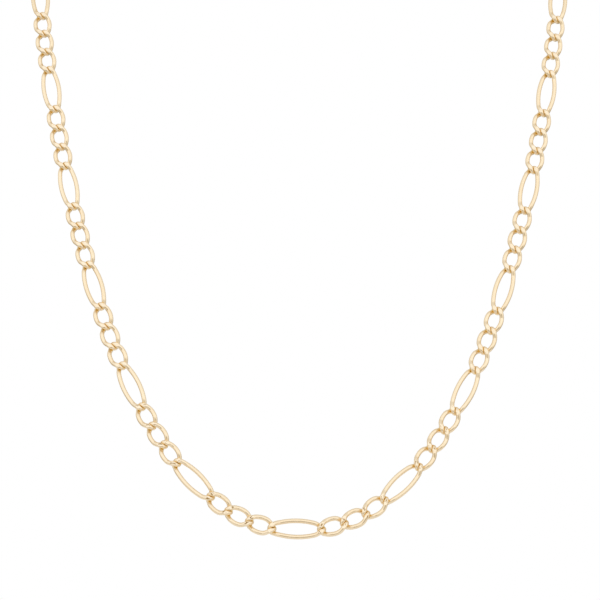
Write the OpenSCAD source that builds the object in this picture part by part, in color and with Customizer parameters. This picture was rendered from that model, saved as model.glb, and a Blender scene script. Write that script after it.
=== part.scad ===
// Figaro chain necklace, fastened: three round curb links and then one long link all the way
// round, closed at the nape by a lobster clasp between two rings.
// The loop keeps the form that it has when it is worn. Its front hangs in a plane that leans
// back, and the rest goes round the neck. +Z is up and the front faces -Y.
// The origin is on the neck's axis, level with the chain at the sides of the neck.

/* [Links] */
// Diameter of the round wire
wire_d = 0.95; // [0.85:0.05:1]
// Width across a round link, outside its wire
round_w = 4.2; // [4.1:0.1:4.8]
// Width across a long link, outside its wire
long_w = 4.4; // [4.2:0.1:5]
// Step of a round link along the chain, from joint to joint
round_step = 4.91; // [4.6:0.01:5.5]
// Step of a long link along the chain, from joint to joint
long_step = 10.3; // [8.5:0.1:12]
// Radius of the wire's middle line round the end of a link
end_r = 1.25; // [1.2:0.05:1.35]
// Clear gap where two wires cross at a joint
link_gap = 0.2; // [0.19:0.01:0.25]
// Angle that each end of a link is twisted by against its middle
end_twist = 44; // [42:1:48]
// Thickness of the chain between its filed faces
filed_t = 1.8; // [1.65:0.05:2.1]

/* [Pattern] */
// Round links in each run between two long links
round_run = 3; // [2:1:4]
// Long links on each side of the lowest one
long_per_side = 9; // [7:1:10]

/* [Rings] */
// Outer diameter of the two rings that join the chain to its clasp
ring_od = 5.2; // [5:0.1:6]
// Diameter of the rings' wire
ring_wire_d = 0.9; // [0.8:0.05:1]

/* [Clasp] */
// Length of the clasp from the tip of its hook to the end of its eye
clasp_l = 13; // [11:0.5:16]
// Width of the clasp across its hook
clasp_w = 5.4; // [5:0.1:6]
// Diameter of the hook at its tip
hook_d = 1.1; // [0.9:0.05:1.2]
// Diameter of the clasp's two arms where they meet
arm_d = 1.6; // [1.3:0.1:1.9]
// Outer diameter of the clasp's eye
eye_od = 3.8; // [3.7:0.1:4.4]
// Diameter of the eye's wire
eye_wire_d = 0.9; // [0.8:0.05:1]

/* [Worn form] */
// Angle that the hanging front leans back from upright
front_lean = 22.2; // [15:0.1:30]
// How far the lowest link has slipped to the left of the lowest point
hang_shift = 0.5; // [0:0.1:2]

/* [Hidden] */
// Half of the route from the lowest point to the nape. The columns are how far aside, how far
// up along the leaning front, and how far back from it. The other half mirrors it.
HALF_ROUTE = [
    [0, 0, 0], [5.8, 0.3, 0], [13.9, 3.4, 0], [20.5, 8.9, 0], [24.9, 13.3, 0], [32, 23.9, 0],
    [39.2, 38.6, 0], [45, 55, 0], [50.3, 73.7, 0], [54.3, 91.3, 0], [57.8, 109.3, 0],
    [60.4, 125.5, 0.5], [61.6, 138, 3], [61.2, 149, 9], [58, 158, 18], [50, 164.5, 26],
    [39.5, 169, 32.5], [26.5, 171.5, 36.5], [13, 173, 39], [0, 173.5, 39.5]
];
// Where the neck's axis meets the leaning front, in the same columns
NECK = [0, 142, 0];
// Straight pieces that each span of the route is cut into
span_cuts = 8;
// Share of the way from the lowest point to the nape at which the links begin to turn from the
// front's face, and how far up their face looks at the nape for each 1 that it looks back
turn_from = 0.6;
nape_up = 1;

// Wire segments round each end and along each side of a link, and sides of the wire
end_cuts = 5;
side_cuts = 3;
wire_sides = 6;

// Run of each link's end that is twisted, which is half of a round link
end_run = half_length(round_step);

// Links from the nape to the lowest one, and in the whole chain
half_links = long_per_side * (round_run + 1) + round_run;
link_count = 2 * half_links + 1;
// Distance along the chain of each joint from the first
JOINTS = [for (i = 0, s = 0; i <= link_count; s = s + step_of(i), i = i + 1) s];
chain_l = JOINTS[link_count];

// Steps of a ring and of the clasp, from joint to joint
ring_step = ring_od - 2 * ring_wire_d - link_gap;
hook_joint = hook_d + link_gap / 2;
eye_joint = clasp_l - eye_wire_d - link_gap / 2;
clasp_step = eye_joint - hook_joint;
loop_l = chain_l + clasp_step + 2 * ring_step;
first_joint = clasp_step / 2 + ring_step;
// Angle that the rings stand at, midway between square to the clasp and to a link's end
ring_turn = (90 + end_twist) / 2;
// How far the clasp's arms lap over the ends of its hook, and stand proud of it there
arm_lap = 0.3;
arm_proud = 0.05;

// The whole route, from the nape down the left, along the bottom and up the right
half_count = len(HALF_ROUTE);
ROUTE = [
    for (i = [half_count - 1 : -1 : 1]) [-HALF_ROUTE[i].x, HALF_ROUTE[i].y, HALF_ROUTE[i].z],
    for (i = [0 : half_count - 2]) HALF_ROUTE[i]
];
route_count = len(ROUTE);
CURVE = [for (i = [0 : route_count], k = [0 : (i < route_count ? span_cuts - 1 : 0)])
    curve_point(i, k / span_cuts)];
CURVE_RUN = [for (i = 0, s = 0; i < len(CURVE);
    s = s + (i < len(CURVE) - 1 ? norm(CURVE[i + 1] - CURVE[i]) : 0), i = i + 1) s];
// The route is drawn to the length of the chain and its clasp
route_scale = loop_l / CURVE_RUN[len(CURVE) - 1];
ASIDE = [for (i = [0 : len(CURVE) - 1]) route_scale * [CURVE_RUN[i], CURVE[i].x]];
RISE = [for (i = [0 : len(CURVE) - 1]) route_scale * [CURVE_RUN[i], CURVE[i].y - NECK.y]];
BACK = [for (i = [0 : len(CURVE) - 1]) route_scale * [CURVE_RUN[i], CURVE[i].z - NECK.z]];

function unit(v) = v / norm(v);
function smooth(x) = let (t = min(max(x, 0), 1)) t * t * (3 - 2 * t);
function is_long(i) = i % (round_run + 1) == round_run;
function step_of(i) = is_long(i) ? long_step : round_step;
// Half of a link's length along its wire's middle line
function half_length(step) = (step + wire_d + link_gap) / 2;

// A smooth curve through the route's points, k being the share of the span after point i
function route_point(i) = ROUTE[(i + route_count) % route_count];
function curve_point(i, k) =
    let (a = route_point(i - 1), b = route_point(i), c = route_point(i + 1), d = route_point(i + 2))
    (2 * b + (c - a) * k + (2 * a - 5 * b + 4 * c - d) * k * k
        + (3 * b - a - 3 * c + d) * k * k * k) / 2;

// Turns a vector of the leaning front's columns into x, y and z
function leant(v) = [
    v.x,
    v.y * sin(front_lean) + v.z * cos(front_lean),
    v.y * cos(front_lean) - v.z * sin(front_lean)
];

// Place on the route at a distance s along it from the nape
function wrapped(s) = (s - hang_shift + loop_l) % loop_l;
function place_at(s) = let (w = wrapped(s)) leant([lookup(w, ASIDE), lookup(w, RISE), lookup(w, BACK)]);

// Direction that the chain's face looks in at s: square to the leaning front there, and from the
// neck's sides on it turns evenly outward and up, to look back and up at the nape
function face_at(s) =
    let (
        way = wrapped(s) / loop_l * 2 - 1,
        turned = smooth((abs(way) - turn_from) / (1 - turn_from)),
        round_neck = 180 * turned * sign(way),
        front_up = tan(front_lean)
    )
    [sin(round_neck), -cos(round_neck), front_up + (nape_up - front_up) * turned];

// Frame of a piece that reaches from s0 to s1 along the route: its middle, then unit vectors
// along the chain, across it and out of its face
function frame_between(s0, s1) =
    let (
        p0 = place_at(s0),
        p1 = place_at(s1),
        along = unit(p1 - p0),
        face = face_at((s0 + s1) / 2),
        out = unit(face - (face * along) * along)
    )
    [(p0 + p1) / 2, along, cross(out, along), out];
function in_frame(f, v) = f[0] + v.x * f[1] + v.y * f[2] + v.z * f[3];
function frame_matrix(f) = [for (k = [0 : 2]) [f[1][k], f[2][k], f[3][k], f[0][k]]];

// Middle line of a link's wire, an oval of four arcs: two small ones round its ends and two
// wide ones along its sides. Each point holds x, y and the angle that its outside faces.
function arc_points(x, y, r, from, to, cuts) =
    [for (k = [0 : cuts - 1]) let (a = from + (to - from) * k / cuts) [x + r * cos(a), y + r * sin(a), a]];
function oval_points(half_l, half_w) =
    let (
        end_x = half_l - end_r,
        side_r = (end_x * end_x + half_w * half_w - end_r * end_r) / (2 * (half_w - end_r)),
        turn = atan2(side_r - half_w, end_x)
    )
    concat(
        arc_points(end_x, 0, end_r, -turn, turn, end_cuts),
        arc_points(0, half_w - side_r, side_r, turn, 180 - turn, side_cuts),
        arc_points(-end_x, 0, end_r, 180 - turn, 180 + turn, end_cuts),
        arc_points(0, side_r - half_w, side_r, 180 + turn, 360 - turn, side_cuts)
    );

// One ring of points round the wire of a twisted link, filed flat at both faces. The twist grows
// smoothly over the end run, from none to all of it at the link's end.
function wire_ring(p, half_l) =
    let (
        share = min(max((abs(p.x) - half_l) / end_run + 1, 0), 1),
        twist = -end_twist * smooth(share) * sign(p.x),
        twist_rate = -end_twist * PI / 180 * 6 * share * (1 - share) / end_run,
        dx = -sin(p.z),
        dy = cos(p.z),
        swing = p.y * twist_rate * dx,
        middle = [p.x, p.y * cos(twist), p.y * sin(twist)],
        along = unit([dx, dy * cos(twist) - swing * sin(twist), dy * sin(twist) + swing * cos(twist)]),
        rise = [0, -sin(twist), cos(twist)],
        up = unit(rise - (rise * along) * along),
        out = cross(along, up)
    )
    [for (k = [0 : wire_sides - 1])
        let (a = 360 * k / wire_sides, q = middle + wire_d / 2 * (cos(a) * out + sin(a) * up))
        [q.x, q.y, min(max(q.z, -filed_t / 2), filed_t / 2)]];

// One link of the chain between two joints that lie `step` apart
module link(f, step, width) {
    half_l = half_length(step);
    half_w = (width - wire_d) / 2;
    rings = [for (p = oval_points(half_l, half_w)) wire_ring(p, half_l)];
    count = len(rings);
    points = [for (ring = rings, q = ring) in_frame(f, q)];
    faces = [for (i = [0 : count - 1], k = [0 : wire_sides - 1])
        let (
            here = i * wire_sides,
            next = (i + 1) % count * wire_sides,
            k2 = (k + 1) % wire_sides
        )
        each [[here + k, here + k2, next + k2], [here + k, next + k2, next + k]]];
    polyhedron(points, faces);
}

// The links from the first to the last number, counted from the clasp down the left
module links(first, last) {
    for (i = [first : last])
        link(
            frame_between(first_joint + JOINTS[i], first_joint + JOINTS[i + 1]),
            step_of(i),
            is_long(i) ? long_w : round_w
        );
}

// A plain wire ring between two joints, turned about the chain's direction
module wire_loop(outer_d, loop_wire_d) {
    rotate_extrude($fn = 48)
        translate([(outer_d - loop_wire_d) / 2, 0])
            circle(d = loop_wire_d, $fn = 24);
}
module ring_between(s0, s1, turn) {
    multmatrix(frame_matrix(frame_between(s0, s1)))
        rotate([turn, 0, 0])
            wire_loop(ring_od, ring_wire_d);
}

module chain_left() {
    color([0.93, 0.80, 0.56]) links(0, half_links);
}

module chain_right() {
    color([0.93, 0.80, 0.56]) links(half_links + 1, link_count - 1);
}

// The ring that joins the clasp's eye to the first link
module clasp_ring() {
    color([0.91, 0.78, 0.54])
        ring_between(clasp_step / 2, first_joint, -ring_turn);
}

// The ring at the other end of the chain, which the hook goes through
module end_ring() {
    color([0.91, 0.78, 0.54])
        ring_between(loop_l - first_joint, loop_l - clasp_step / 2, ring_turn);
}

// Lobster clasp, closed, in one piece: a round hook whose two arms run together at the eye
module clasp() {
    hook_r = (clasp_w - hook_d) / 2;
    hook_x = hook_d / 2 + hook_r;
    eye_x = clasp_l - eye_od / 2;
    meet_x = eye_x - (eye_od - eye_wire_d) / 2;
    arm_lean = asin(hook_r / (meet_x - hook_x));
    arm_l = (meet_x - hook_x) * cos(arm_lean);
    color([0.89, 0.75, 0.50])
        multmatrix(frame_matrix(frame_between(-clasp_step / 2, clasp_step / 2)))
            translate([-(hook_joint + eye_joint) / 2, 0, 0]) {
                translate([hook_x, 0, 0])
                    rotate([0, 0, 90 - arm_lean])
                        rotate_extrude(angle = 180 + 2 * arm_lean, $fn = 48)
                            translate([hook_r, 0])
                                circle(d = hook_d, $fn = 24);
                for (side = [-1, 1])
                    translate([meet_x, 0, 0])
                        rotate([0, 0, side * (180 - arm_lean)])
                            rotate([0, 90, 0])
                                cylinder(d1 = arm_d, d2 = hook_d + 2 * arm_proud, h = arm_l + arm_lap, $fn = 24);
                translate([meet_x, 0, 0])
                    sphere(d = arm_d + 2 * arm_proud, $fn = 24);
                translate([eye_x, 0, 0])
                    wire_loop(eye_od, eye_wire_d);
            }
}

chain_left();
chain_right();
clasp();
clasp_ring();
end_ring();
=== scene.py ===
# A figaro chain necklace of pale polished gold, fastened, in the form that it has when it is worn.
import math

import bmesh
import bpy
import numpy as np
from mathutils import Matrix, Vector


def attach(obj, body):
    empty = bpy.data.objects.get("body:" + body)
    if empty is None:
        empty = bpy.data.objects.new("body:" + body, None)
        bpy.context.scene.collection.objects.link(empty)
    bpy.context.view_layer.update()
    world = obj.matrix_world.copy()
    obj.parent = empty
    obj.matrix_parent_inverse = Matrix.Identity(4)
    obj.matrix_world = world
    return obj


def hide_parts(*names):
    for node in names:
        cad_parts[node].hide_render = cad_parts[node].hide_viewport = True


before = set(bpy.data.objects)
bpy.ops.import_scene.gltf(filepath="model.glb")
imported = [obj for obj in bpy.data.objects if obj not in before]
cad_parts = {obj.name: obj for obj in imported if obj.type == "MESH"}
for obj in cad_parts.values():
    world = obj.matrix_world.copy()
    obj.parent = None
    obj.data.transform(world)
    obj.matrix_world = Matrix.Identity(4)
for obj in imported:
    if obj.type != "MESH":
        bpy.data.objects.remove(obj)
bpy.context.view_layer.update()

MM = 0.001

# Sizes of the chain in millimetres, as its solids have them
WIRE_D = 0.95
ROUND_W = 4.2
LONG_W = 4.4
ROUND_STEP = 4.91
LONG_STEP = 10.3
LINK_GAP = 0.2
END_TWIST = 44
FILED_T = 1.8
ROUND_RUN = 3
LONG_PER_SIDE = 9
RING_OD = 5.2
RING_WIRE_D = 0.9
CLASP_L = 13
CLASP_W = 5.4
HOOK_D = 1.1
ARM_D = 1.6
EYE_OD = 3.8
EYE_WIRE_D = 0.9
FRONT_LEAN = math.radians(22.2)
HANG_SHIFT = 0.5

# The wires touch here at each joint, where the solids keep their clear gap. They bend tighter
# round a link's end, and the twist is a little more and in a shorter run of it.
TOUCH_GAP = 0.0
ROUND_END_R = 0.8
LONG_END_R = 0.95
END_RUN = 2.1
WIRE_TWIST = 49
# How much wider the pressed wire is where its faces are filed, and the filed depth that it takes
PRESSED_WIDER = 0.55
PRESSED_DEPTH = 0.32

# Half of the route from the lowest point to the nape: aside, up along the front, back from it
HALF_ROUTE = [
    (0, 0, 0), (5.8, 0.3, 0), (13.9, 3.4, 0), (20.5, 8.9, 0), (24.9, 13.3, 0), (32, 23.9, 0),
    (39.2, 38.6, 0), (45, 55, 0), (50.3, 73.7, 0), (54.3, 91.3, 0), (57.8, 109.3, 0),
    (60.4, 125.5, 0.5), (61.6, 138, 3), (61.2, 149, 9), (58, 158, 18), (50, 164.5, 26),
    (39.5, 169, 32.5), (26.5, 171.5, 36.5), (13, 173, 39), (0, 173.5, 39.5),
]
# The point of that route's space that lies at the origin, on the axis of the neck
NECK = np.array([0, 142, 0])
# Cuts of the smooth route between two of its points
SPAN_CUTS = 8
# The links lie flat on the leaning front for this share of the way from the lowest point to the
# nape. From there they turn out round the neck, and at the nape they face up by this slope.
TURN_FROM = 0.6
NAPE_UP = 1

# Links and steps, counted from the clasp down the left
HALF_LINKS = LONG_PER_SIDE * (ROUND_RUN + 1) + ROUND_RUN
LINK_COUNT = 2 * HALF_LINKS + 1
STEPS = [LONG_STEP if i % (ROUND_RUN + 1) == ROUND_RUN else ROUND_STEP for i in range(LINK_COUNT)]
JOINTS = np.concatenate([[0], np.cumsum(STEPS)])
RING_STEP = RING_OD - 2 * RING_WIRE_D - LINK_GAP
HOOK_JOINT = HOOK_D + LINK_GAP / 2
EYE_JOINT = CLASP_L - EYE_WIRE_D - LINK_GAP / 2
CLASP_STEP = EYE_JOINT - HOOK_JOINT
LOOP_L = JOINTS[-1] + CLASP_STEP + 2 * RING_STEP
FIRST_JOINT = CLASP_STEP / 2 + RING_STEP
RING_TURN = math.radians((90 + END_TWIST) / 2)

# Fineness of the wire: cuts round each end and along each side of a link, and round the wire
ROUND_CUTS = (12, 18)
LONG_CUTS = (16, 28)
WIRE_SIDES = 24
# Width and drop of the worn edge round each filed face
EDGE_WIDTH = 0.03
EDGE_DROP = 0.015
# The least angle between two faces of a link that reads as an edge, and not as a curve
SHARP_FROM = math.radians(24)
# Fineness of the rings and of the cast clasp, the rounds of its smoothing and the share of each,
# and how far they draw its skin in
RING_CUTS = 96
HOOK_CUTS = 60
ARM_CUTS = 24
CAST_CELL = 0.07
CAST_SMOOTHING = 16
SMOOTHING_SHARE = 0.5
CAST_SPARE = 0.03
# The fine seams where each ring is closed and where the hook's tip meets its lever. The inner
# two of the cuts across a ring's seam, in halves of its width, lie at its bottom.
SEAM_HALF = 0.08
SEAM_DEPTH = 0.06
SEAM_CUTS = np.array([-1, -0.3, 0.3, 1])
RING_SEAM_AT = math.radians(75)
HOOK_SEAM_AT = math.radians(232)


def unit(v):
    return v / np.linalg.norm(v)


def smooth(x):
    t = min(max(x, 0), 1)
    return t * t * (3 - 2 * t)


# The whole route as a smooth closed curve, drawn to the length of the chain and its clasp
ROUTE = np.array(
    [(-a, b, c) for a, b, c in HALF_ROUTE[:0:-1]] + HALF_ROUTE[:-1], dtype=float
)


def curve_point(i, k):
    a, b, c, d = (ROUTE[(i + j) % len(ROUTE)] for j in (-1, 0, 1, 2))
    return (2 * b + (c - a) * k + (2 * a - 5 * b + 4 * c - d) * k**2
            + (3 * b - a - 3 * c + d) * k**3) / 2


CURVE = np.array([curve_point(n // SPAN_CUTS, n % SPAN_CUTS / SPAN_CUTS)
                  for n in range(len(ROUTE) * SPAN_CUTS + 1)])
CURVE_RUN = np.concatenate([[0], np.cumsum(np.linalg.norm(np.diff(CURVE, axis=0), axis=1))])
ROUTE_SCALE = LOOP_L / CURVE_RUN[-1]


def wrapped(s):
    return (s - HANG_SHIFT + LOOP_L) % LOOP_L


def place_at(s):
    run = wrapped(s) / ROUTE_SCALE
    aside, up, back = (
        np.interp(run, CURVE_RUN, CURVE[:, k] - NECK[k]) * ROUTE_SCALE for k in range(3)
    )
    sin, cos = math.sin(FRONT_LEAN), math.cos(FRONT_LEAN)
    return np.array([aside, up * sin + back * cos, up * cos - back * sin])


def face_at(s):
    way = wrapped(s) / LOOP_L * 2 - 1
    turned = smooth((abs(way) - TURN_FROM) / (1 - TURN_FROM))
    round_neck = math.pi * turned * (1 if way > 0 else -1)
    front_up = math.tan(FRONT_LEAN)
    return np.array([math.sin(round_neck), -math.cos(round_neck),
                     front_up + (NAPE_UP - front_up) * turned])


def frame_between(s0, s1):
    """Middle of a piece between two joints, and a matrix with its directions along, across and out."""
    p0, p1 = place_at(s0), place_at(s1)
    along = unit(p1 - p0)
    face = face_at((s0 + s1) / 2)
    out = unit(face - face.dot(along) * along)
    return (p0 + p1) / 2, np.column_stack([along, np.cross(out, along), out])


def turned_about_x(angle):
    sin, cos = math.sin(angle), math.cos(angle)
    return np.array([[1, 0, 0], [0, cos, -sin], [0, sin, cos]])


def tube_faces(rings, sides):
    """Faces of a closed tube whose points are in rings one after another."""
    return [
        (i * sides + k, i * sides + (k + 1) % sides,
         (i + 1) % rings * sides + (k + 1) % sides, (i + 1) % rings * sides + k)
        for i in range(rings) for k in range(sides)
    ]


def arc_points(x, y, r, start, end, cuts):
    angles = start + (end - start) * np.arange(cuts) / cuts
    return [(x + r * math.cos(a), y + r * math.sin(a), a) for a in angles]


def oval_points(half_l, half_w, end_r, end_cuts, side_cuts):
    """Middle line of a link's wire: small arcs round its ends and wide ones along its sides."""
    end_x = half_l - end_r
    side_r = (end_x**2 + half_w**2 - end_r**2) / (2 * (half_w - end_r))
    turn = math.atan2(side_r - half_w, end_x)
    return (
        arc_points(end_x, 0, end_r, -turn, turn, end_cuts)
        + arc_points(0, half_w - side_r, side_r, turn, math.pi - turn, side_cuts)
        + arc_points(-end_x, 0, end_r, math.pi - turn, math.pi + turn, end_cuts)
        + arc_points(0, side_r - half_w, side_r, math.pi + turn, 2 * math.pi - turn, side_cuts)
    )


def wire_ring(x, y, angle, half_l):
    """Points round the wire of a link whose twist grows over the run of its end."""
    share = min(max((abs(x) - half_l) / END_RUN + 1, 0), 1)
    full_twist = math.radians(WIRE_TWIST)
    twist = -full_twist * smooth(share) * math.copysign(1, x)
    twist_rate = -full_twist * 6 * share * (1 - share) / END_RUN
    sin, cos = math.sin(twist), math.cos(twist)
    dx, dy = -math.sin(angle), math.cos(angle)
    swing = y * twist_rate * dx
    middle = np.array([x, y * cos, y * sin])
    along = unit(np.array([dx, dy * cos - swing * sin, dy * sin + swing * cos]))
    rise = np.array([0, -sin, cos])
    up = unit(rise - rise.dot(along) * along)
    out = np.cross(along, up)
    a = 2 * math.pi * np.arange(WIRE_SIDES) / WIRE_SIDES
    ring = WIRE_D / 2 * (np.outer(np.cos(a), out) + np.outer(np.sin(a), up))
    filed_depth = abs(middle[2] + ring[:, 2]).max() - FILED_T / 2
    level = unit(np.cross([0, 0, 1], along))
    wider = PRESSED_WIDER * smooth(filed_depth / PRESSED_DEPTH)
    return middle + ring + wider * np.outer(ring @ level, level)


def link_shape(step, width, end_r, cuts):
    """One link about its own middle, with its filed faces: points, faces, which faces are filed."""
    half_l = (step + WIRE_D + TOUCH_GAP) / 2
    line = oval_points(half_l, (width - WIRE_D) / 2, end_r, *cuts)
    bm = bmesh.new()
    for x, y, angle in line:
        for p in wire_ring(x, y, angle, half_l):
            bm.verts.new(p)
    bm.verts.ensure_lookup_table()
    for face in tube_faces(len(line), WIRE_SIDES):
        bm.faces.new([bm.verts[i] for i in face])
    filed = []
    for side in (1, -1):
        cut = bmesh.ops.bisect_plane(
            bm, geom=bm.verts[:] + bm.edges[:] + bm.faces[:], dist=1e-5,
            plane_co=(0, 0, side * FILED_T / 2), plane_no=(0, 0, side), clear_outer=True,
        )
        rim = [e for e in cut["geom_cut"] if isinstance(e, bmesh.types.BMEdge)]
        filed += bmesh.ops.holes_fill(bm, edges=rim)["faces"]
    rims = {v: math.copysign(EDGE_DROP, v.co.z) for face in filed for v in face.verts}
    bmesh.ops.inset_individual(bm, faces=filed, thickness=EDGE_WIDTH, use_even_offset=True)
    for v, drop in rims.items():
        v.co.z -= drop
    bmesh.ops.recalc_face_normals(bm, faces=bm.faces[:])
    flat = set(filed)
    bm.verts.index_update()
    points = np.array([v.co for v in bm.verts])
    faces = [tuple(v.index for v in face.verts) for face in bm.faces]
    marks = [face in flat for face in bm.faces]
    bm.free()
    return points, faces, marks


def new_mesh(name, points, faces):
    """An object from points in millimetres, smooth all over."""
    mesh = bpy.data.meshes.new(name)
    mesh.from_pydata((np.asarray(points) * MM).tolist(), [], faces)
    mesh.polygons.foreach_set("use_smooth", [True] * len(faces))
    mesh.update()
    piece = bpy.data.objects.new(name, mesh)
    bpy.context.collection.objects.link(piece)
    return piece


def set_point_values(mesh, name, kind, values):
    layer = mesh.attributes.new(name, kind, "POINT")
    layer.data.foreach_set("vector" if kind == "FLOAT_VECTOR" else "value", np.ravel(values))


LINK_SHAPES = {
    ROUND_STEP: link_shape(ROUND_STEP, ROUND_W, ROUND_END_R, ROUND_CUTS),
    LONG_STEP: link_shape(LONG_STEP, LONG_W, LONG_END_R, LONG_CUTS),
}
# How far the grain of one link is from that of the next, and each link's own tone
GRAIN_SHIFT = 17.3
TONE_SEED = 5
LINK_TONES = np.random.default_rng(TONE_SEED).random(LINK_COUNT)


def chain_links(name, first, last):
    """Links first to last as one piece, with each link's own place and tone kept on its points."""
    points, places, shades, faces, marks = [], [], [], [], []
    start = 0
    for i in range(first, last + 1):
        shape, shape_faces, shape_marks = LINK_SHAPES[STEPS[i]]
        middle, turn = frame_between(FIRST_JOINT + JOINTS[i], FIRST_JOINT + JOINTS[i + 1])
        points.append(middle + shape @ turn.T)
        places.append(shape + [GRAIN_SHIFT * i, 0, 0])
        shades.append(np.full(len(shape), LINK_TONES[i]))
        faces += [tuple(start + k for k in face) for face in shape_faces]
        marks += shape_marks
        start += len(shape)
    piece = new_mesh(name, np.concatenate(points), faces)
    set_point_values(piece.data, "grain_place", "FLOAT_VECTOR", np.concatenate(places))
    set_point_values(piece.data, "tone", "FLOAT", np.concatenate(shades))
    piece.data.polygons.foreach_set("use_smooth", [not mark for mark in marks])
    piece.data.polygons.foreach_set("material_index", [int(mark) for mark in marks])
    piece.data.set_sharp_from_angle(angle=SHARP_FROM)
    return piece


def flat_circle(x, r, angles):
    return np.column_stack([x + r * np.cos(angles), r * np.sin(angles), np.zeros(len(angles))])


def closed_tube(path, radii):
    """Points and faces of a closed tube along a flat path, with its own radius at each point."""
    ways = np.roll(path, -1, axis=0) - np.roll(path, 1, axis=0)
    turns = 2 * math.pi * np.arange(WIRE_SIDES) / WIRE_SIDES
    rings = []
    for middle, way, r in zip(path, ways, radii):
        out = unit(np.array([way[1], -way[0], 0]))
        rings.append(middle + r * (np.outer(np.cos(turns), out) + np.outer(np.sin(turns), [0, 0, 1])))
    return np.concatenate(rings), tube_faces(len(path), WIRE_SIDES)


def face_outwards(piece):
    bm = bmesh.new()
    bm.from_mesh(piece.data)
    bmesh.ops.recalc_face_normals(bm, faces=bm.faces[:])
    bm.to_mesh(piece.data)
    bm.free()


def wire_ring_piece(name, s0, s1, turn):
    """A round wire ring between two joints, closed at a fine seam."""
    r = (RING_OD - RING_WIRE_D) / 2
    even = 2 * math.pi * np.arange(RING_CUTS) / RING_CUTS
    even = even[abs(even - RING_SEAM_AT) * r > 1.5 * SEAM_HALF]
    seam = RING_SEAM_AT + SEAM_CUTS * SEAM_HALF / r
    angles = np.sort(np.concatenate([even, seam]))
    in_seam = abs(angles - RING_SEAM_AT) * r < 0.5 * SEAM_HALF
    radii = RING_WIRE_D / 2 - SEAM_DEPTH * in_seam
    points, faces = closed_tube(flat_circle(0, r, angles), radii)
    middle, frame_turn = frame_between(s0, s1)
    piece = new_mesh(name, middle + points @ (frame_turn @ turned_about_x(turn)).T, faces)
    face_outwards(piece)
    return piece


def cast_points(bodies):
    """Points and faces of overlapping closed bodies run together into one smooth casting."""
    points, faces = [], []
    start = 0
    for body_points, body_faces in bodies:
        points.append(body_points)
        faces += [tuple(start + k for k in face) for face in body_faces]
        start += len(body_points)
    mesh = bpy.data.meshes.new("rough_cast")
    mesh.from_pydata(np.concatenate(points).tolist(), [], faces)
    rough = bpy.data.objects.new("rough_cast", mesh)
    bpy.context.collection.objects.link(rough)
    face_outwards(rough)
    remesh = rough.modifiers.new("remesh", "REMESH")
    remesh.mode = "VOXEL"
    remesh.voxel_size = CAST_CELL
    soften = rough.modifiers.new("soften", "SMOOTH")
    soften.factor = SMOOTHING_SHARE
    soften.iterations = CAST_SMOOTHING
    cast = bpy.data.meshes.new_from_object(rough.evaluated_get(bpy.context.evaluated_depsgraph_get()))
    result = (np.array([v.co for v in cast.vertices]), [tuple(p.vertices) for p in cast.polygons])
    bpy.data.objects.remove(rough)
    bpy.data.meshes.remove(mesh)
    bpy.data.meshes.remove(cast)
    return result


def ball(middle, r):
    bm = bmesh.new()
    bmesh.ops.create_uvsphere(bm, u_segments=WIRE_SIDES, v_segments=WIRE_SIDES // 2, radius=r)
    points = np.array([v.co for v in bm.verts]) + middle
    faces = [tuple(v.index for v in face.verts) for face in bm.faces]
    bm.free()
    return points, faces


def press_seam(points, hook_x, hook_r):
    """The casting's points with the seam pressed in across the hook's wire, towards its middle."""
    seam_out = np.array([math.cos(HOOK_SEAM_AT), math.sin(HOOK_SEAM_AT), 0])
    seam_along = np.array([-seam_out[1], seam_out[0], 0])
    from_hook = points - [hook_x, 0, 0]
    off_seam = np.where(from_hook @ seam_out > 0, abs(from_hook @ seam_along), SEAM_HALF)
    depth = SEAM_DEPTH * np.clip(1 - off_seam / SEAM_HALF, 0, 1)
    to_wire = hook_r * seam_out - from_hook
    to_wire -= np.outer(to_wire @ seam_along, seam_along)
    reach = np.maximum(np.linalg.norm(to_wire, axis=1), SEAM_DEPTH)
    return points + to_wire * (depth / reach)[:, None]


def clasp_piece(name):
    """The closed clasp as one casting: a round hook whose two arms run together at the eye."""
    hook_r = (CLASP_W - HOOK_D) / 2
    hook_x = HOOK_D / 2 + hook_r
    eye_r = (EYE_OD - EYE_WIRE_D) / 2
    eye_x = CLASP_L - EYE_OD / 2
    meet = np.array([eye_x - eye_r, 0, 0])
    lean = math.asin(hook_r / (meet[0] - hook_x))
    hook_angles = np.linspace(math.pi / 2 - lean, 3 * math.pi / 2 + lean, HOOK_CUTS)
    hook = flat_circle(hook_x, hook_r, hook_angles)
    shares = np.arange(1, ARM_CUTS + 1) / ARM_CUTS
    towards_eye = hook[-1] + np.outer(shares, meet - hook[-1])
    from_eye = meet + np.outer(shares[:-1], hook[0] - meet)
    path = np.concatenate([hook, towards_eye, from_eye])
    arm_shares = np.concatenate([np.zeros(HOOK_CUTS), shares, 1 - shares[:-1]])
    radii = CAST_SPARE + (HOOK_D + (ARM_D - HOOK_D) * arm_shares) / 2
    circle = 2 * math.pi * np.arange(RING_CUTS) / RING_CUTS
    eye = flat_circle(eye_x, eye_r, circle)
    points, faces = cast_points([
        closed_tube(path, radii),
        closed_tube(eye, np.full(RING_CUTS, EYE_WIRE_D / 2 + CAST_SPARE)),
        ball(meet, ARM_D / 2 + CAST_SPARE),
    ])
    from_middle = press_seam(points, hook_x, hook_r) - [(HOOK_JOINT + EYE_JOINT) / 2, 0, 0]
    middle, frame_turn = frame_between(-CLASP_STEP / 2, CLASP_STEP / 2)
    piece = new_mesh(name, middle + from_middle @ frame_turn.T, faces)
    face_outwards(piece)
    return piece


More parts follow.
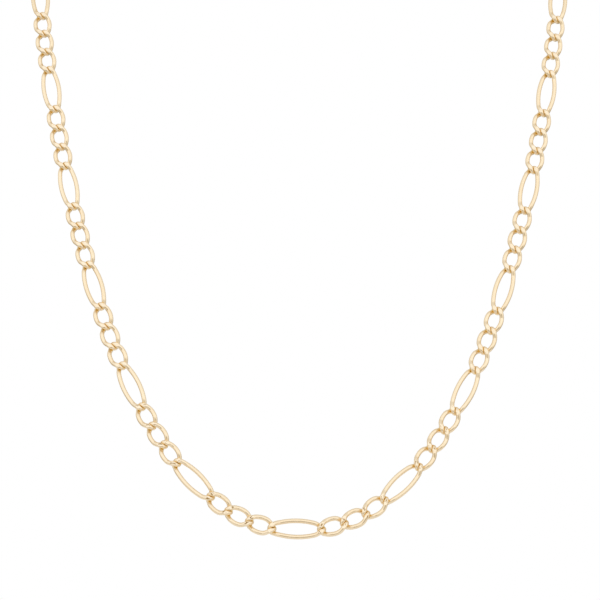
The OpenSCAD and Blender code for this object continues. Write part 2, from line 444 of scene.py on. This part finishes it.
# The camera stands level before the hanging front, a little right of the chain's middle
CAMERA_PLACE = (0.18, -424.4, -83.9)
LENS = 107.5
FILM_WIDTH = 36
SEEN_FROM = 10
SEEN_TO = 20000
camera_data = bpy.data.cameras.new("camera")
camera_data.lens = LENS
camera_data.sensor_width = FILM_WIDTH
camera_data.clip_start = SEEN_FROM * MM
camera_data.clip_end = SEEN_TO * MM
camera = bpy.data.objects.new("camera", camera_data)
camera.location = Vector(CAMERA_PLACE) * MM
camera.rotation_euler = (math.radians(90), 0, 0)
bpy.context.collection.objects.link(camera)
bpy.context.scene.camera = camera


class Nodes:
    """A short way to write a node tree."""

    def __init__(self, tree):
        self.tree = tree
        tree.nodes.clear()

    def add(self, kind, inputs=None, **settings):
        node = self.tree.nodes.new(kind)
        for key, value in settings.items():
            setattr(node, key, value)
        for key, value in (inputs or {}).items():
            if isinstance(value, bpy.types.NodeSocket):
                self.tree.links.new(value, node.inputs[key])
            else:
                node.inputs[key].default_value = value
        return node

    def math(self, operation, a, b=0.0):
        return self.add("ShaderNodeMath", {0: a, 1: b}, operation=operation).outputs[0]

    def mapped(self, value, low, high, to_low, to_high):
        node = self.add("ShaderNodeMapRange", {"Value": value, "From Min": low, "From Max": high,
                                               "To Min": to_low, "To Max": to_high},
                        interpolation_type="SMOOTHSTEP")
        return node.outputs["Result"]

    def noise(self, place, scale, detail=3.0, roughness=0.55):
        node = self.add("ShaderNodeTexNoise", {"Vector": place, "Scale": scale, "Detail": detail,
                                               "Roughness": roughness})
        return node.outputs["Fac"]

    def stretched(self, place, scale, turn=(0, 0, 0)):
        turned = self.add("ShaderNodeMapping", {"Vector": place, "Rotation": turn})
        node = self.add("ShaderNodeMapping", {"Vector": turned.outputs["Vector"], "Scale": scale})
        return node.outputs["Vector"]

    def blend(self, share, first, second):
        """Two colours, by the second one's share. A mix node takes colours at inputs 6 and 7."""
        node = self.add("ShaderNodeMix", {"Factor": share}, data_type="RGBA")
        for key, value in ((6, first), (7, second)):
            if isinstance(value, bpy.types.NodeSocket):
                self.tree.links.new(value, node.inputs[key])
            else:
                node.inputs[key].default_value = (*value, 1)
        return node.outputs[2]


# Painted shade in the tight corners where two wires meet, deepened to orange as for light passed many
# times between the wires, and darker painted shade in the narrow cleft between two filed bands. Each
# is full where the first of its two shares of the space round the surface is open, and gone where the
# second is. The last two say how far and how finely that is felt.
CREVICE_PAINTED_SHADE = (0.84, 0.6, 0.07)
CREVICE_SHADE_OPEN = (0.3, 0.66)
CLEFT_PAINTED_SHADE = (0.4, 0.31, 0.12)
CLEFT_SHADE_OPEN = (0.1, 0.3)
CREVICE_REACH = 0.5
OPEN_SAMPLES = 8
# Tint of the gold's shine at its rim, where a wire turns away
RIM_TINT = (1.0, 0.83, 0.56, 1)
# Colour of the painted dark reflections, short dark specks along the marks in the filed faces low on
# the chain, where the facets mirror dark places; the levels between which they fade out upwards, and
# the height of the marks from which they show and at which they are full
DARK_REFLECTION_GOLD = (0.35, 0.22, 0.08)
DARK_REFLECTION_LEVELS = (-118 * MM, -90 * MM)
DARK_REFLECTION_MARKS = (0.54, 0.6)
# Fineness of the noises behind the gold's tones, clouds, gloss and marks, in swells a millimetre,
# and the range of a noise that runs from none of its effect to all of it. The marks' fineness is
# the one along them, and the tones' share is of the change of colour, where clouds do the rest.
TONE_FINENESS = 0.15
TONE_SHARE = 0.5
CLOUD_FINENESS = 0.9
CLOUD_RANGE = (0.3, 0.7)
GLOSS_FINENESS = 2.3
GLOSS_RANGE = (0.35, 0.7)
MARK_RUN_FINENESS = 1.2


def gold(name, light, deep, roughness, grain, marks, own_place=False, with_dark_reflections=False):
    """Polished gold whose tone, gloss and fine marks vary, with painted shade in its tight corners and
    clefts.

    Roughness is its lowest and highest value. Grain is its fineness and its depth in
    millimetres. Marks are their turn, their fineness across and their depth in millimetres.
    """
    material = bpy.data.materials.new(name)
    material.use_nodes = True
    n = Nodes(material.node_tree)
    if own_place:
        place = n.add("ShaderNodeAttribute", attribute_name="grain_place").outputs["Vector"]
        tone = n.add("ShaderNodeAttribute", attribute_name="tone").outputs["Fac"]
    else:
        here = n.add("ShaderNodeTexCoord").outputs["Object"]
        place = n.stretched(here, (1 / MM, 1 / MM, 1 / MM))
        tone = n.noise(place, TONE_FINENESS, detail=1.0)
    cloud = n.noise(place, CLOUD_FINENESS, detail=4.0)
    cloud = n.mapped(cloud, *CLOUD_RANGE, 0.0, 1 - TONE_SHARE)
    colour = n.blend(n.math("ADD", n.math("MULTIPLY", tone, TONE_SHARE), cloud), light, deep)
    # Painted shade: the colour turns deep orange, and in clefts dark, where the space round the
    # surface is closed in
    opening = n.add("ShaderNodeAmbientOcclusion", {"Distance": CREVICE_REACH * MM},
                    samples=OPEN_SAMPLES).outputs["AO"]
    colour = n.blend(n.mapped(opening, *CREVICE_SHADE_OPEN, 1.0, 0.0), colour, CREVICE_PAINTED_SHADE)
    colour = n.blend(n.mapped(opening, *CLEFT_SHADE_OPEN, 1.0, 0.0), colour, CLEFT_PAINTED_SHADE)
    gloss = n.mapped(n.noise(place, GLOSS_FINENESS, detail=5.0), *GLOSS_RANGE, *roughness)
    mark_turn, mark_fineness, mark_depth = marks
    mark_scale = (MARK_RUN_FINENESS, mark_fineness, mark_fineness)
    marked = n.noise(n.stretched(place, mark_scale, mark_turn), 1.0, detail=2.0)
    # Painted dark reflections: dark specks along the filed marks, low on the chain only, fading out
    # upwards
    if with_dark_reflections:
        here = n.add("ShaderNodeTexCoord").outputs["Object"]
        level = n.add("ShaderNodeSeparateXYZ", {0: here}).outputs[2]
        low_on_chain = n.mapped(level, *DARK_REFLECTION_LEVELS, 1.0, 0.0)
        dark_reflection_share = n.math("MULTIPLY", low_on_chain, n.mapped(marked, *DARK_REFLECTION_MARKS, 0.0, 1.0))
        colour = n.blend(dark_reflection_share, colour, DARK_REFLECTION_GOLD)
    grain_fineness, grain_depth = grain
    fine = n.noise(place, grain_fineness, detail=4.0, roughness=0.6)
    first = n.add("ShaderNodeBump", {"Height": fine, "Distance": grain_depth * MM, "Strength": 1.0})
    second = n.add("ShaderNodeBump", {"Height": marked, "Distance": mark_depth * MM, "Strength": 1.0,
                                      "Normal": first.outputs[0]})
    shader = n.add("ShaderNodeBsdfPrincipled", {
        "Base Color": colour, "Metallic": 1.0, "Roughness": gloss, "Normal": second.outputs[0],
        "Specular Tint": RIM_TINT,
    })
    n.add("ShaderNodeOutputMaterial", {"Surface": shader.outputs[0]})
    return material


WIRE_GOLD = gold(
    "polished_gold_wire", light=(0.945, 0.8, 0.585), deep=(0.915, 0.75, 0.52),
    roughness=(0.14, 0.26), grain=(5.0, 0.004), marks=((0, 0, 0.2), 26.0, 0.0015),
    own_place=True,
)
FILED_GOLD = gold(
    "filed_gold", light=(0.95, 0.825, 0.64), deep=(0.92, 0.775, 0.575),
    roughness=(0.09, 0.18), grain=(6.0, 0.001), marks=((0, 0, -0.95), 3.0, 0.12),
    own_place=True, with_dark_reflections=True,
)
RING_GOLD = gold(
    "ring_gold_wire", light=(0.94, 0.8, 0.57), deep=(0.9, 0.75, 0.51),
    roughness=(0.1, 0.22), grain=(4.0, 0.004), marks=((0.3, 0.5, 0.2), 26.0, 0.002),
)
CLASP_GOLD = gold(
    "cast_gold", light=(0.94, 0.79, 0.56), deep=(0.9, 0.74, 0.5),
    roughness=(0.09, 0.2), grain=(3.0, 0.006), marks=((0.2, 0.9, 0.4), 26.0, 0.002),
)

for side, first, last in (("left", 0, HALF_LINKS), ("right", HALF_LINKS + 1, LINK_COUNT - 1)):
    links = chain_links(f"links_{side}", first, last)
    links.data.materials.append(WIRE_GOLD)
    links.data.materials.append(FILED_GOLD)
    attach(links, "root")
    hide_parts(f"chain_{side}")

small_pieces = (
    (clasp_piece("clasp_body"), "clasp", CLASP_GOLD, "clasp_gold"),
    (wire_ring_piece("clasp_ring_wire", CLASP_STEP / 2, FIRST_JOINT, -RING_TURN),
     "clasp_ring", RING_GOLD, "ring_gold"),
    (wire_ring_piece("end_ring_wire", LOOP_L - FIRST_JOINT, LOOP_L - CLASP_STEP / 2, RING_TURN),
     "end_ring", RING_GOLD, "ring_gold"),
)
for piece, node, gold_used, slot in small_pieces:
    piece.data.materials.append(gold_used)
    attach(piece, "root")
    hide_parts(node)

# A pale round floor well below the chain, faintly mottled, which fades out at its rim
FLOOR_Z = -200
FLOOR_R = 420
FLOOR_SIDES = 128
FADE_FROM = 130
FADE_TO = 245
FLOOR_DARK = (0.86, 0.86, 0.86)
FLOOR_LIGHT = (0.9, 0.9, 0.9)
MOTTLE_FINENESS = 12.0
MOTTLE_RANGE = (0.3, 0.7)
floor_turns = 2 * math.pi * np.arange(FLOOR_SIDES) / FLOOR_SIDES
floor = new_mesh(
    "floor",
    flat_circle(0, FLOOR_R, floor_turns) + [0, 0, FLOOR_Z],
    [tuple(range(FLOOR_SIDES))],
)
floor_paint = bpy.data.materials.new("pale_floor")
floor_paint.use_nodes = True
n = Nodes(floor_paint.node_tree)
here = n.add("ShaderNodeTexCoord").outputs["Object"]
parts = n.add("ShaderNodeSeparateXYZ", {0: here}).outputs
flat_place = n.add("ShaderNodeCombineXYZ", {0: parts[0], 1: parts[1]}).outputs[0]
from_middle = n.add("ShaderNodeVectorMath", {0: flat_place}, operation="LENGTH").outputs["Value"]
mottle = n.mapped(n.noise(here, MOTTLE_FINENESS, detail=4.0), *MOTTLE_RANGE, 0.0, 1.0)
paint = n.add("ShaderNodeBsdfDiffuse", {"Color": n.blend(mottle, FLOOR_DARK, FLOOR_LIGHT)})
clear = n.add("ShaderNodeBsdfTransparent")
fade = n.mapped(from_middle, FADE_FROM * MM, FADE_TO * MM, 0.0, 1.0)
mixed = n.add("ShaderNodeMixShader", {0: fade, 1: paint.outputs[0], 2: clear.outputs[0]})
n.add("ShaderNodeOutputMaterial", {"Surface": mixed.outputs[0]})
floor.data.materials.append(floor_paint)

# The white room round the chain. What the gold mirrors is bright above and before it, softer
# below and behind it, with one dark place before it, a little below its level. Each light goes
# by how far a direction points up, back or aside, from -1 to 1: the two places between which it
# changes, and its strength at each.
LIGHT_BY_HEIGHT = (-0.8, 0.6, 0.62, 1.18)
LIGHT_BY_DEPTH = (-0.9, 0.4, 1.0, 0.7)
LIGHT_BY_SIDE = (0.3, 0.95, 0.965, 1.05)
# Its tint below and above, and the heights between which it changes
TINT_LEVELS = (-0.5, 0.3)
TINT_BELOW = (1.0, 0.95, 0.86)
TINT_ABOVE = (1.0, 0.995, 0.985)
# The dark place: how far below level it lies, how far from its middle it begins and is full, all
# as angles, and the share of the light that is left in it and its tint
SPOT_DOWN = math.radians(12)
SPOT_EDGE = math.radians(28)
SPOT_CORE = math.radians(10)
SPOT_LIGHT = 0.64
SPOT_TINT = (1.0, 0.9, 0.72)
world = bpy.data.worlds.new("white_room")
world.use_nodes = True
bpy.context.scene.world = world
n = Nodes(world.node_tree)
toward = n.add("ShaderNodeTexCoord").outputs["Generated"]
x, y, z = n.add("ShaderNodeSeparateXYZ", {0: toward}).outputs
height = n.mapped(z, *LIGHT_BY_HEIGHT)
depth = n.mapped(y, *LIGHT_BY_DEPTH)
aside = n.mapped(n.math("ABSOLUTE", x), *LIGHT_BY_SIDE)
spot_way = (0, -math.cos(SPOT_DOWN), -math.sin(SPOT_DOWN))
to_spot = n.add("ShaderNodeVectorMath", {0: toward, 1: spot_way}, operation="DOT_PRODUCT")
in_spot = n.mapped(to_spot.outputs["Value"], math.cos(SPOT_EDGE), math.cos(SPOT_CORE), 0.0, 1.0)
spot = n.mapped(in_spot, 0.0, 1.0, 1.0, SPOT_LIGHT)
light = n.math("MULTIPLY", n.math("MULTIPLY", n.math("MULTIPLY", height, depth), aside), spot)
room = n.blend(n.mapped(z, *TINT_LEVELS, 0.0, 1.0), TINT_BELOW, TINT_ABOVE)
room = n.blend(in_spot, room, SPOT_TINT)
mirrored = n.add("ShaderNodeBackground", {"Color": room, "Strength": light})
seen = n.add("ShaderNodeBackground", {"Color": (1, 1, 1, 1), "Strength": 1.0})
path = n.add("ShaderNodeLightPath")
mixed = n.add("ShaderNodeMixShader", {0: path.outputs["Is Camera Ray"], 1: mirrored.outputs[0],
                                      2: seen.outputs[0]})
n.add("ShaderNodeOutputWorld", {"Surface": mixed.outputs[0]})

# A soft square lamp above lights the floor, and the gold mirrors the white room alone
LAMP_PLACE = (60, -220, 460)
LAMP_AIM = (0, -20, -60)
LAMP_WIDTH = 300
LAMP_POWER = 0.3
lamp_data = bpy.data.lights.new("light_above", "AREA")
lamp_data.shape = "SQUARE"
lamp_data.size = LAMP_WIDTH * MM
lamp_data.energy = LAMP_POWER
lamp = bpy.data.objects.new("light_above", lamp_data)
lamp.location = Vector(LAMP_PLACE) * MM
lamp.rotation_mode = "QUATERNION"
lamp.rotation_quaternion = (Vector(LAMP_AIM) - Vector(LAMP_PLACE)).to_track_quat("-Z", "Y")
bpy.context.collection.objects.link(lamp)
lamp.visible_glossy = False

# Light passes between the wires many times before it leaves a joint, which deepens its colour
GLOSSY_BOUNCES = 12
ALL_BOUNCES = 16
bpy.context.scene.cycles.glossy_bounces = GLOSSY_BOUNCES
bpy.context.scene.cycles.max_bounces = ALL_BOUNCES
bpy.context.scene.view_settings.view_transform = "Standard"
